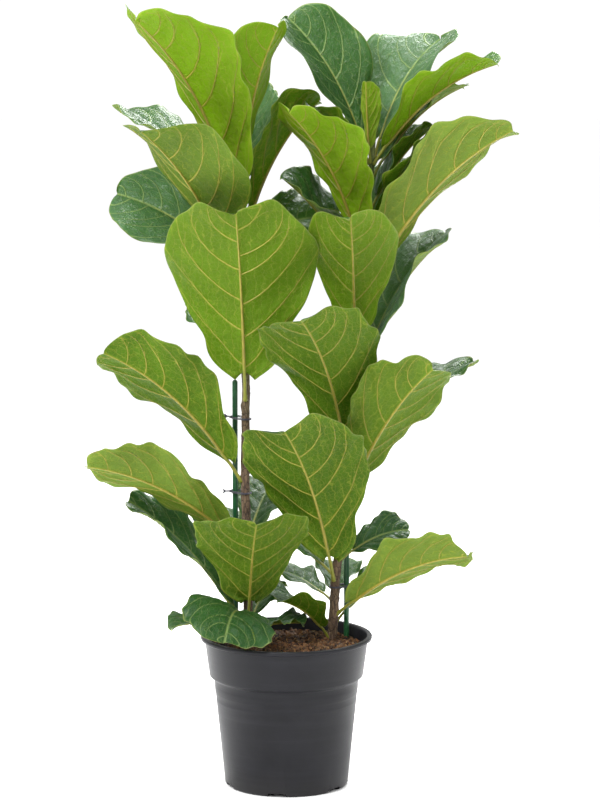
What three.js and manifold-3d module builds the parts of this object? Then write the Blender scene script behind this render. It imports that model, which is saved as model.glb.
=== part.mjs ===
// Potted fiddle leaf fig: a nursery pot of soil, two stems tied to canes, buds and leaves.
// Millimetres, +Z up.  The origin is the middle of the pot's flat underside, on the floor.
// The row's front is -Y.  Azimuth 0 points to +X, 90 to +Y, 270 to the front.
import * as THREE from "three";
import { mergeVertices } from "three/addons/utils/BufferGeometryUtils.js";
import Module from "manifold-3d";

const wasm = await Module();
wasm.setup();

const TAU = 2 * Math.PI;
const GAP = 0.4;             // clear space left between neighbouring pieces

// ---- sizes --------------------------------------------------------------
const POT_HEIGHT = 243;
const LIP_RADIUS = 137.5;
const FOOT_RADIUS = 97;
const WALL = 2.2;
const FLOOR = 3;
const POT_SIDES = 48;
const WALL_FOOT = 99;        // outer radius of the wall at its foot
const FOOT_TOP = 4;          // height where the wall starts
const WALL_LEDGE = 116;      // outer radius where the wall steps out to the band
const LEDGE = 172;           // height of that step
const BAND_LOW = 123.5;      // outer radius at the foot of the band
const BAND_FOOT = 180;       // height of the foot of the band
const BAND_HIGH = 131;       // outer radius at the top of the band
const BAND_TOP = 236;        // height of the top of the band
const DRAIN_COUNT = 6;
const DRAIN_WIDTH = 30;
const DRAIN_HEIGHT = 6;
const DRAIN_LENGTH = 34;     // how far a slot runs in from the wall
const DRAIN_MIDDLE = 94;     // radius at the middle of a slot
const DRAIN_FIRST = 261;     // azimuth of the first drain slot

const SOIL_EDGE = 222;       // height of the soil at the wall
const SOIL_MIDDLE = 226;     // height of the soil in the middle
const SOIL_MARGIN = 0.6;     // kept off the wall, whose many flats cut in between corners
const SOIL_SIDES = 36;
const BURIED_STEM = 50;
const BURIED_CANE = 40;

const STEM_SIDES = 10;
const STEM_RINGS = 22;
const NECK = 0.92;           // girth between two old leaf scars, as a part of the most
const CANE_RADIUS = 4.5;
const CANE_SIDES = 12;
const CANE_CHAMFER = [2, 1.5];   // height and width
const TIE_WIRE = 1.1;        // radius of the wire
const TIE_SIDES = 5;
const TIE_STEPS = 24;        // along the loop
const TIE_BEND_STEPS = 6;    // round each end of the loop
const TIE_SLACK = 0.4;
const TAIL_LENGTH = 12;
const TAIL_SPREAD = 25;      // degrees each end leans from the middle
const TAIL_OVERLAP = 0.3;    // how deep a tail starts in the loop
const BUD_RINGS = 7;
const LEAF_THICKNESS = 1.2;
const JOINT_SLACK = 0.3;     // more clearance where a leaf meets the stem's flats

// ---- where the stems and canes stand ------------------------------------
// Each point of a stem is [x, y, z, radius].
const STEMS = {
  left: [
    [-62, 20, 165, 8], [-62, 20, 228, 8], [-62, 16, 340, 7.5], [-66, 14, 500, 7],
    [-64, 10, 640, 6.5], [-70, 5, 830, 5.5], [-73, 0, 1035, 4],
  ],
  right: [
    [74, 50, 165, 8], [74, 50, 228, 8], [80, 42, 335, 7.5], [97, 30, 500, 7],
    [110, 24, 700, 6.5], [122, 20, 850, 5.5], [138, 20, 1040, 4],
  ],
};
const CANES = {
  left: { x: -82, y: 34, top: 650 },
  right: { x: 97, y: 56, top: 1080 },
};

// Height of each tie and the azimuth of its twisted ends.
const TIES = {
  left: [[237, 200], [470, 185], [590, 150]],
  right: [[312, 60], [560, 80], [750, 60]],
};

// Length, radius and sideways bend of the bud at each stem's top.
const BUDS = { left: [42, 5, -6], right: [70, 9, 10] };

// ---- the leaves ---------------------------------------------------------
// name, stem, height of the joint, azimuth, pitch at the joint, droop along the leaf,
// roll about the midrib, blade length, blade width, fold at the midrib, extra curl to
// the margin, extra bend of the tip, turn to the side, height of the margin's waves.
const LEAVES = [
  // left stem, from the soil upwards
  ["am", "left", 254, 260, 42, 88, 20, 172, 150, 10, -15, 0, 0, 6],
  ["an", "left", 245, 205, 25, 40, 0, 105, 90, 10, 0, 0, 0, 5],
  ["ad", "left", 262, 186, 60, 28, 28, 235, 92, 15, 10, 0, 0, 7],
  ["ae", "left", 310, 105, 52, 35, 0, 190, 120, 10, 0, 0, 60, 6],
  ["af", "left", 272, 277, 68, 30, 0, 180, 195, 10, 10, 0, 0, 6],
  ["ao", "left", 255, 70, 40, 35, 0, 90, 80, 15, 0, 0, 0, 5],
  ["ap", "left", 252, 350, 15, 20, 0, 66, 90, 10, 0, 0, 0, 5],
  ["ag", "left", 395, 72, 45, 35, 0, 125, 110, 10, 0, 0, 0, 5],
  ["ac", "left", 385, 204, 44, 34, -40, 265, 128, 12, 10, 0, 0, 8],
  ["z", "left", 495, 202, 58, 34, -38, 275, 160, 10, 10, 0, 0, 8],
  ["aa", "left", 655, 100, 45, 45, 0, 180, 160, 10, 0, 0, 0, 6],
  ["s", "left", 628, 265, 76, 22, 0, 290, 250, 8, 8, 0, 0, 8],
  ["d", "left", 800, 225, 66, 34, 0, 295, 215, 12, 10, 0, 0, 7],
  ["a", "left", 930, 222, 72, 38, 0, 320, 220, 15, 10, 0, 0, 7],
  ["e0", "left", 900, 150, 60, 50, 0, 250, 130, 15, 0, 0, 0, 6],
  ["e", "left", 830, 160, 42, 30, 45, 205, 150, 10, 0, 0, 0, 6],
  ["b", "left", 1000, 315, 82, 28, 0, 196, 140, 20, 10, 0, 0, 5],
  ["c", "left", 895, 25, 72, 34, 40, 206, 130, 15, 10, 0, 0, 6],
  ["ax", "left", 950, 80, 65, 30, 0, 170, 110, 20, 10, 0, 0, 5],
  ["u", "left", 858, 25, 40, 50, -45, 130, 110, 10, 0, 0, 0, 6],
  // right stem, from the soil upwards
  ["al", "right", 232, 212, 55, 45, 0, 98, 110, 15, 10, 0, 0, 5],
  ["ai2", "right", 290, 140, 30, 30, 0, 96, 80, 10, 0, 0, 0, 5],
  ["ai", "right", 335, 161, 45, 40, 0, 110, 80, 10, 0, 0, 0, 5],
  ["ar", "right", 290, 85, 35, 40, 0, 105, 80, 10, 0, 0, 0, 5],
  ["aj", "right", 270, 325, 40, 32, 35, 240, 122, 12, 10, 0, 0, 7],
  ["ak", "right", 255, 40, 42, 40, 0, 150, 110, 15, 0, 0, -30, 5],
  ["ah", "right", 360, 5, 40, 40, -35, 95, 78, 10, 0, 0, 0, 5],
  ["ab", "right", 330, 245, 68, 30, -14, 285, 205, 8, 8, 0, 0, 8],
  ["x", "right", 465, 315, 62, 26, 28, 250, 150, 10, 10, 0, 0, 8],
  ["y", "right", 540, 22, 48, 40, 0, 215, 120, 12, 0, 0, 0, 6],
  ["w", "right", 535, 248, 66, 36, -14, 270, 192, 8, 8, 0, 0, 8],
  ["v", "right", 645, 27, 72, 36, 0, 250, 170, 12, 10, 0, 0, 7],
  ["t", "right", 700, 266, 72, 34, 0, 235, 150, 10, 10, 0, 0, 8],
  ["n", "right", 790, 339, 64, 38, 24, 320, 160, 15, 10, 0, 0, 8],
  ["o", "right", 865, 222, 70, 34, 0, 232, 172, 10, 10, 0, 0, 7],
  ["p", "right", 815, 222, 62, 25, 20, 180, 150, 10, 10, 0, -34, 6],
  ["r", "right", 940, 193, 72, 34, 0, 150, 110, 15, 10, 0, 0, 6],
  ["f", "right", 1000, 160, 74, 34, 30, 228, 150, 15, 10, 0, 0, 6],
  ["g", "right", 1003, 245, 80, -6, 0, 100, 50, 35, 10, 0, 0, 2],
  ["h", "right", 1010, 44, 70, 45, 0, 205, 190, 12, 10, 0, 0, 6],
  ["i", "right", 1000, 338, 56, 42, 0, 225, 120, 20, 10, 0, 0, 6],
  ["j", "right", 980, 24, 58, 40, 0, 180, 120, 15, 10, 0, 0, 6],
  ["k", "right", 925, 7, 68, 34, 0, 135, 110, 15, 10, 0, 0, 5],
  ["l", "right", 880, 345, 64, 40, 0, 190, 130, 15, 10, 0, 0, 7],
  ["m", "right", 800, 40, 78, 36, 0, 190, 120, 15, 10, 0, 0, 6],
];

// ---- plain vector helpers ------------------------------------------------
const rad = (degrees) => degrees * Math.PI / 180;
const clamp01 = (x) => Math.min(1, Math.max(0, x));
const smooth = (x) => {
  const c = clamp01(x);
  return c * c * (3 - 2 * c);
};

// Point and radius of a stem at a height.
function stemAt(points, z) {
  let k = 0;
  while (k < points.length - 2 && z > points[k + 1][2]) k += 1;
  const a = points[k];
  const b = points[k + 1];
  const t = (z - a[2]) / (b[2] - a[2]);
  return a.map((value, i) => value + (b[i] - value) * t);
}

// ---- solids --------------------------------------------------------------
// Closed body through rings of equal point counts, capped by a fan at each end.  From the
// side numbered underside on, the quads are split along their other diagonal, so the two
// faces of a thin sheet stay parallel where it is warped.
function loft(rings, underside = Infinity) {
  const sides = rings[0].length;
  const positions = [];
  const index = [];
  for (const ring of rings) {
    for (const p of ring) positions.push(p.x, p.y, p.z);
  }
  for (let k = 0; k + 1 < rings.length; k += 1) {
    for (let j = 0; j < sides; j += 1) {
      const a = k * sides + j;
      const b = k * sides + (j + 1) % sides;
      if (j < underside) index.push(a, b, b + sides, a, b + sides, a + sides);
      else index.push(a, b, a + sides, b, b + sides, a + sides);
    }
  }
  for (const [first, flip] of [[0, true], [(rings.length - 1) * sides, false]]) {
    const centre = new THREE.Vector3();
    for (let j = 0; j < sides; j += 1) {
      centre.add(new THREE.Vector3().fromArray(positions, 3 * (first + j)));
    }
    centre.divideScalar(sides);
    const c = positions.length / 3;
    positions.push(centre.x, centre.y, centre.z);
    for (let j = 0; j < sides; j += 1) {
      const a = first + j;
      const b = first + (j + 1) % sides;
      if (flip) index.push(c, b, a);
      else index.push(c, a, b);
    }
  }
  const geometry = new THREE.BufferGeometry();
  geometry.setAttribute("position", new THREE.Float32BufferAttribute(positions, 3));
  geometry.setIndex(index);
  return geometry;
}

// Ring of points about a centre, in the plane of two unit vectors.
function ringAbout(centre, across, up, radius, sides) {
  const ring = [];
  for (let j = 0; j < sides; j += 1) {
    const a = TAU * j / sides;
    const p = centre.clone();
    p.addScaledVector(across, radius * Math.cos(a));
    p.addScaledVector(up, radius * Math.sin(a));
    ring.push(p);
  }
  return ring;
}

// Upright body of round level rings: [x, y, z, radius] for each.
function column(points, sides) {
  const east = new THREE.Vector3(1, 0, 0);
  const north = new THREE.Vector3(0, 1, 0);
  return loft(points.map(([x, y, z, radius]) => (
    ringAbout(new THREE.Vector3(x, y, z), east, north, radius, sides)
  )));
}

// Solid of revolution about the Z axis from a closed profile of [radius, height].
function turned(profile, sides) {
  const points = profile.map(([radius, height]) => new THREE.Vector2(radius, height));
  points.push(points[0].clone());
  const geometry = new THREE.LatheGeometry(points, sides);
  geometry.rotateX(Math.PI / 2);
  return geometry;
}

function toManifold(geometry) {
  const clean = geometry.clone();
  clean.deleteAttribute("normal");
  clean.deleteAttribute("uv");
  const merged = mergeVertices(clean, 1e-4);
  const source = Array.from(merged.index.array);
  const triangles = [];
  for (let i = 0; i < source.length; i += 3) {
    const [a, b, c] = source.slice(i, i + 3);
    if (a !== b && b !== c && c !== a) triangles.push(a, b, c);
  }
  return new wasm.Manifold(new wasm.Mesh({
    numProp: 3,
    vertProperties: new Float32Array(merged.attributes.position.array),
    triVerts: new Uint32Array(triangles),
  }));
}

function fromManifold(solid) {
  const mesh = solid.getMesh();
  const geometry = new THREE.BufferGeometry();
  geometry.setAttribute("position", new THREE.Float32BufferAttribute(mesh.vertProperties, 3));
  geometry.setIndex(Array.from(mesh.triVerts));
  return geometry;
}

// ---- pot -----------------------------------------------------------------
// Outer radius of the pot wall below the band and in the band.
function wallRadius(z) {
  return WALL_FOOT + (WALL_LEDGE - WALL_FOOT) * (z - FOOT_TOP) / (LEDGE - FOOT_TOP);
}

function bandRadius(z) {
  return BAND_LOW + (BAND_HIGH - BAND_LOW) * (z - BAND_FOOT) / (BAND_TOP - BAND_FOOT);
}

const POT_PROFILE = [
  [0, 0],
  [FOOT_RADIUS - 2, 0],
  [FOOT_RADIUS, 1.2],
  [WALL_FOOT, FOOT_TOP],
  [WALL_LEDGE, LEDGE],
  [WALL_LEDGE + 1.5, LEDGE + 3],
  [BAND_LOW - 1, BAND_FOOT - 2],
  [BAND_LOW, BAND_FOOT],
  [BAND_HIGH, BAND_TOP],
  [LIP_RADIUS - 0.8, BAND_TOP + 1],
  [LIP_RADIUS, BAND_TOP + 2.5],
  [LIP_RADIUS - 0.6, POT_HEIGHT - 0.6],
  [LIP_RADIUS - 2, POT_HEIGHT],
  [BAND_HIGH - WALL + 1, POT_HEIGHT],
  [BAND_HIGH - WALL, POT_HEIGHT - 2],
  [BAND_LOW - WALL, BAND_FOOT],
  [WALL_LEDGE - WALL, LEDGE + 3],
  [WALL_FOOT - WALL, FLOOR + 2],
  [WALL_FOOT - WALL - 2, FLOOR],
  [0, FLOOR],
];

function makePot() {
  let pot = toManifold(turned(POT_PROFILE, POT_SIDES));
  for (let k = 0; k < DRAIN_COUNT; k += 1) {
    const slot = new THREE.BoxGeometry(DRAIN_LENGTH, DRAIN_WIDTH, 2 * DRAIN_HEIGHT);
    slot.translate(DRAIN_MIDDLE, 0, 0);
    slot.rotateZ(rad(DRAIN_FIRST + 360 * k / DRAIN_COUNT));
    pot = pot.subtract(toManifold(slot));
  }
  return fromManifold(pot);
}

// ---- soil ----------------------------------------------------------------
function makeSoil() {
  const inset = WALL + GAP + SOIL_MARGIN;
  const profile = [
    [0, FLOOR + GAP],
    [wallRadius(FLOOR) - inset - 2.4, FLOOR + GAP],
    [wallRadius(FLOOR + 3) - inset, FLOOR + 3],
    [wallRadius(LEDGE) - inset, LEDGE + 3],
    [bandRadius(BAND_FOOT) - inset, BAND_FOOT + SOIL_MARGIN],
    [bandRadius(SOIL_EDGE) - inset, SOIL_EDGE],
    [60, SOIL_MIDDLE - 1],
    [0, SOIL_MIDDLE],
  ];
  let soil = toManifold(turned(profile, SOIL_SIDES));
  const hole = (x, y, radius, depth) => {
    const bottom = SOIL_MIDDLE - depth - GAP;
    const top = SOIL_MIDDLE + 5;
    return toManifold(column([[x, y, bottom, radius], [x, y, top, radius]], CANE_SIDES));
  };
  for (const points of Object.values(STEMS)) {
    const [x, y, , radius] = points[0];
    soil = soil.subtract(hole(x, y, radius + 2 * GAP, BURIED_STEM));
  }
  for (const cane of Object.values(CANES)) {
    soil = soil.subtract(hole(cane.x, cane.y, CANE_RADIUS + 2 * GAP, BURIED_CANE));
  }
  return fromManifold(soil);
}

// ---- stems and canes -----------------------------------------------------
// A stem swells a little at the scar of each old leaf.
function makeStem(points) {
  const bottom = SOIL_MIDDLE - BURIED_STEM;
  const top = points[points.length - 1][2];
  const rings = [];
  rings.push([points[0][0], points[0][1], bottom, points[0][3]]);
  rings.push([points[1][0], points[1][1], points[1][2], points[1][3]]);
  for (let k = 1; k <= STEM_RINGS; k += 1) {
    const z = points[1][2] + (top - points[1][2]) * k / STEM_RINGS;
    const [x, y, , radius] = stemAt(points, z);
    rings.push([x, y, z, radius * (k % 2 === 0 ? 1 : NECK)]);
  }
  return column(rings, STEM_SIDES);
}

function makeCane({ x, y, top }) {
  const [rise, narrowing] = CANE_CHAMFER;
  return column([
    [x, y, SOIL_MIDDLE - BURIED_CANE, CANE_RADIUS],
    [x, y, top - rise, CANE_RADIUS],
    [x, y, top, CANE_RADIUS - narrowing],
  ], CANE_SIDES);
}

// A wire tie: one loop around stem and cane, with two twisted ends.
function makeTie(points, cane, z, tailAzimuth) {
  const [sx, sy, , stemRadius] = stemAt(points, z);
  const room = Math.max(stemRadius, CANE_RADIUS) + TIE_WIRE + 2 * GAP + TIE_SLACK;
  const stem = new THREE.Vector3(sx, sy, 0);
  const stake = new THREE.Vector3(cane.x, cane.y, 0);
  const start = Math.atan2(cane.y - sy, cane.x - sx);
  const path = [];
  for (const [centre, from] of [[stake, start - Math.PI / 2], [stem, start + Math.PI / 2]]) {
    for (let k = 0; k <= TIE_BEND_STEPS; k += 1) {
      const a = from + Math.PI * k / TIE_BEND_STEPS;
      path.push(new THREE.Vector3(room * Math.cos(a), room * Math.sin(a), 0).add(centre));
    }
  }
  const loop = new THREE.CatmullRomCurve3(path, true, "centripetal");
  let tie = toManifold(new THREE.TubeGeometry(loop, TIE_STEPS, TIE_WIRE, TIE_SIDES, true));
  for (const side of [-1, 1]) {
    const tail = new THREE.CylinderGeometry(TIE_WIRE, TIE_WIRE, TAIL_LENGTH, TIE_SIDES);
    tail.translate(0, TAIL_LENGTH / 2, 0);
    tail.rotateZ(-Math.PI / 2 + side * rad(TAIL_SPREAD));
    tail.rotateX(Math.PI / 2);
    tail.translate(room - TAIL_OVERLAP, 0, 0);
    tail.rotateZ(rad(tailAzimuth));
    tail.translate(cane.x, cane.y, 0);
    tie = tie.add(toManifold(tail));
  }
  return fromManifold(tie);
}

// ---- buds ----------------------------------------------------------------
// The pointed sheath that closes a stem, a little bent to one side.
function makeBud(length, radius, bend) {
  const rings = [];
  for (let k = 0; k <= BUD_RINGS; k += 1) {
    const s = k / BUD_RINGS;
    // thickest a third of the way up, and rounded to a point at the top
    const girth = radius * (0.45 + 1.5 * s) * (1 - s) ** 0.8 / 0.86 + 0.5;
    rings.push([bend * s * s, 0, length * s, girth]);
  }
  return column(rings, STEM_SIDES);
}

// ---- leaves --------------------------------------------------------------
const PATH_STEPS = 60;
const STALK_RINGS = [0, 0.5, 0.94];      // places along the leaf stalk
const BLADE_RINGS = 10;
const BLADE_START = 0.02;                // the first and last ring of the blade
const BLADE_END = 0.985;
const ACROSS = [-1, -0.5, 0, 0.5, 1];    // places across the blade, in half widths

// Half width of the blade at v, from 0 at its base to 1 at its tip, as a part of the most.
function halfWidth(v) {
  const body = Math.sin(Math.PI * clamp01(v) ** 1.1) ** 0.6;
  const lobe = 0.25 * Math.exp(-(((v - 0.05) / 0.06) ** 2));
  return body + lobe * (1 - body);
}

// How far the margin runs ahead of the midrib, as a part of the length.
function sweep(v) {
  return 0.13 * Math.sqrt(Math.max(0, Math.sin(Math.PI * v)));
}

// Points and directions along the midrib of a leaf that leaves its joint towards +X.
function leafPath(leaf, start) {
  const steps = [];
  const frameAt = (u) => {
    const pitch = rad(leaf.pitch - leaf.droop * u ** 1.3 - leaf.tip * smooth((u - 0.7) / 0.3));
    const turn = rad(leaf.side * u);
    const roll = rad(leaf.roll) * smooth(u / 0.25);
    const forward = new THREE.Vector3(
      Math.cos(pitch) * Math.cos(turn), Math.cos(pitch) * Math.sin(turn), Math.sin(pitch));
    const face = new THREE.Vector3(
      -Math.sin(pitch) * Math.cos(turn), -Math.sin(pitch) * Math.sin(turn), Math.cos(pitch));
    const across = forward.clone().cross(face);
    const side = across.clone().multiplyScalar(Math.cos(roll));
    side.addScaledVector(face, Math.sin(roll));
    face.multiplyScalar(Math.cos(roll)).addScaledVector(across, -Math.sin(roll));
    return { side, forward, face };
  };
  const total = leaf.petiole + leaf.length;
  const point = new THREE.Vector3(start, 0, 0);
  steps.push(point.clone());
  for (let k = 0; k < PATH_STEPS; k += 1) {
    point.addScaledVector(frameAt((k + 0.5) / PATH_STEPS).forward, total / PATH_STEPS);
    steps.push(point.clone());
  }
  return (u) => {
    const inside = clamp01(u);
    const k = Math.min(Math.floor(inside * PATH_STEPS), PATH_STEPS - 1);
    const at = steps[k].clone().lerp(steps[k + 1], inside * PATH_STEPS - k);
    const frame = frameAt(inside);
    at.addScaledVector(frame.forward, (u - inside) * total);
    return { at, ...frame };
  };
}

// Point of the blade at v along it and t across it, from -1 to 1.
function bladePoint(leaf, path, v, t) {
  const along = v + sweep(v) * Math.abs(t) ** 1.5;
  const { at, side, face } = path((leaf.petiole + along * leaf.length) / (leaf.petiole + leaf.length));
  const reach = Math.abs(t) * halfWidth(v);
  const slope = rad(leaf.fold + leaf.curl * reach);
  const out = reach * leaf.width / 2;
  const phase = 2.4 * leaf.number + (t > 0 ? 1.7 : 0);
  const wave = leaf.wave * t * t * Math.sin(TAU * 2.2 * v + phase) * Math.min(1, 4 * v);
  at.addScaledVector(side, Math.sign(t) * out * Math.cos(slope));
  at.addScaledVector(face, out * Math.sin(slope) + wave);
  return { at, face };
}

function makeLeaf(leaf, stemRadius) {
  const stalk = 1.6 + leaf.length / 250;     // radius of the leaf stalk
  const start = stemRadius + stalk * Math.sin(rad(leaf.pitch)) + GAP + JOINT_SLACK;
  const path = leafPath(leaf, start);
  const total = leaf.petiole + leaf.length;
  const rings = [];
  const sides = 2 * ACROSS.length - 2;
  for (const share of STALK_RINGS) {
    const { at, side, face } = path(share * leaf.petiole / total);
    const ring = [];
    for (let j = 0; j < sides; j += 1) {
      const a = Math.PI - TAU * j / sides;
      const p = at.clone();
      p.addScaledVector(side, stalk * Math.cos(a));
      p.addScaledVector(face, stalk * Math.sin(a));
      ring.push(p);
    }
    rings.push(ring);
  }
  for (let k = 0; k <= BLADE_RINGS; k += 1) {
    const v = BLADE_START + (BLADE_END - BLADE_START) * k / BLADE_RINGS;
    const ring = [];
    for (const t of ACROSS) ring.push(bladePoint(leaf, path, v, t).at);
    for (const t of ACROSS.slice(1, -1).reverse()) {
      const { at, face } = bladePoint(leaf, path, v, t);
      ring.push(at.addScaledVector(face, -LEAF_THICKNESS));
    }
    rings.push(ring);
  }
  return loft(rings, ACROSS.length - 1);
}

// ---- the whole plant -------------------------------------------------------
const COLOURS = {
  pot: ["#3a3a3e", 0.45],
  soil: ["#5a3c28", 0.95],
  stem: ["#6d5236", 0.85],
  cane: ["#1e4a2c", 0.4],
  tie: ["#3a3844", 0.5],
  bud: ["#7a9a3a", 0.5],
  leaf: ["#4f8a35", 0.45],
};

function piece(name, look, geometry) {
  const [color, roughness] = COLOURS[look];
  const mesh = new THREE.Mesh(geometry, new THREE.MeshStandardMaterial({ color, roughness }));
  mesh.name = name;
  return mesh;
}

const fig = new THREE.Group();
fig.add(piece("pot", "pot", makePot()));
fig.add(piece("soil", "soil", makeSoil()));

for (const [side, points] of Object.entries(STEMS)) {
  const plant = new THREE.Group();
  const cane = CANES[side];
  plant.add(piece(`stem_${side}`, "stem", makeStem(points)));
  plant.add(piece(`cane_${side}`, "cane", makeCane(cane)));
  for (const [k, [height, tailAzimuth]] of TIES[side].entries()) {
    const tie = piece(`tie_${side}_${k + 1}`, "tie", makeTie(points, cane, height, tailAzimuth));
    tie.position.z = height;
    plant.add(tie);
  }
  const top = points[points.length - 1];
  const bud = piece(`bud_${side}`, "bud", makeBud(...BUDS[side]));
  bud.position.set(top[0], top[1], top[2] + GAP);
  plant.add(bud);
  fig.add(plant);
}

for (const [number, row] of LEAVES.entries()) {
  const [name, stem, height, azimuth, pitch, droop, roll, length, width, fold, curl, tip, side, wave] = row;
  const [x, y, , radius] = stemAt(STEMS[stem], height);
  const petiole = 0.1 * length + 12;
  const leaf = { number, pitch, droop, roll, length, width, fold, curl, tip, side, wave, petiole };
  const mesh = piece(`leaf_${name}`, "leaf", makeLeaf(leaf, radius));
  mesh.position.set(x, y, height);
  mesh.rotation.z = rad(azimuth);
  fig.add(mesh);
}

export default fig;
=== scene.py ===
"""Potted fiddle leaf fig: the visual model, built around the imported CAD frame.

Metres, +Z up, -Y to the front.  The leaf, stem and cane tables repeat the CAD source's
values in millimetres and degrees.
"""
import math

import bpy
import numpy as np
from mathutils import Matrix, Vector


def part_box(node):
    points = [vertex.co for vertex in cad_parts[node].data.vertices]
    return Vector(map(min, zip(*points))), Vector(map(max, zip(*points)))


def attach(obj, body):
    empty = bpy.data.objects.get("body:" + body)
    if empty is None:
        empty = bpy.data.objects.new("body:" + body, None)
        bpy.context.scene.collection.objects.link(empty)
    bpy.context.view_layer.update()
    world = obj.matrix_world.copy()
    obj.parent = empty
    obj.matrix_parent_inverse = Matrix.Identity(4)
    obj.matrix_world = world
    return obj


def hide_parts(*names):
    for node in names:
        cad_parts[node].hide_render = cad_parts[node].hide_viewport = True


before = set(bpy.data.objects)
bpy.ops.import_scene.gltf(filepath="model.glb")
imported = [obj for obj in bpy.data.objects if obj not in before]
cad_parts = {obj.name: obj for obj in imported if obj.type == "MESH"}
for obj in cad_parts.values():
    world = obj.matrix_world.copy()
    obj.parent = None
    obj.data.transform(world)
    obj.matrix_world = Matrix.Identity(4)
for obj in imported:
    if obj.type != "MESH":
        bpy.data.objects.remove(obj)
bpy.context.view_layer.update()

MM = 0.001
rng = np.random.default_rng(20)

# ---- the plant's layout ---------------------------------------------------

# Points of each stem: x, y, z, radius.
STEMS = {
    "left": [
        (-62, 20, 165, 8), (-62, 20, 228, 8), (-62, 16, 340, 7.5), (-66, 14, 500, 7),
        (-64, 10, 640, 6.5), (-70, 5, 830, 5.5), (-73, 0, 1035, 4),
    ],
    "right": [
        (74, 50, 165, 8), (74, 50, 228, 8), (80, 42, 335, 7.5), (97, 30, 500, 7),
        (110, 24, 700, 6.5), (122, 20, 850, 5.5), (138, 20, 1040, 4),
    ],
}
# Height of each tie and the azimuth of its twisted ends.
TIES = {
    "left": [(237, 200), (470, 185), (590, 150)],
    "right": [(312, 60), (560, 80), (750, 60)],
}
# Length, radius and sideways bend of the bud at each stem's top.
BUDS = {"left": (42, 5, -6), "right": (70, 9, 10)}

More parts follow.
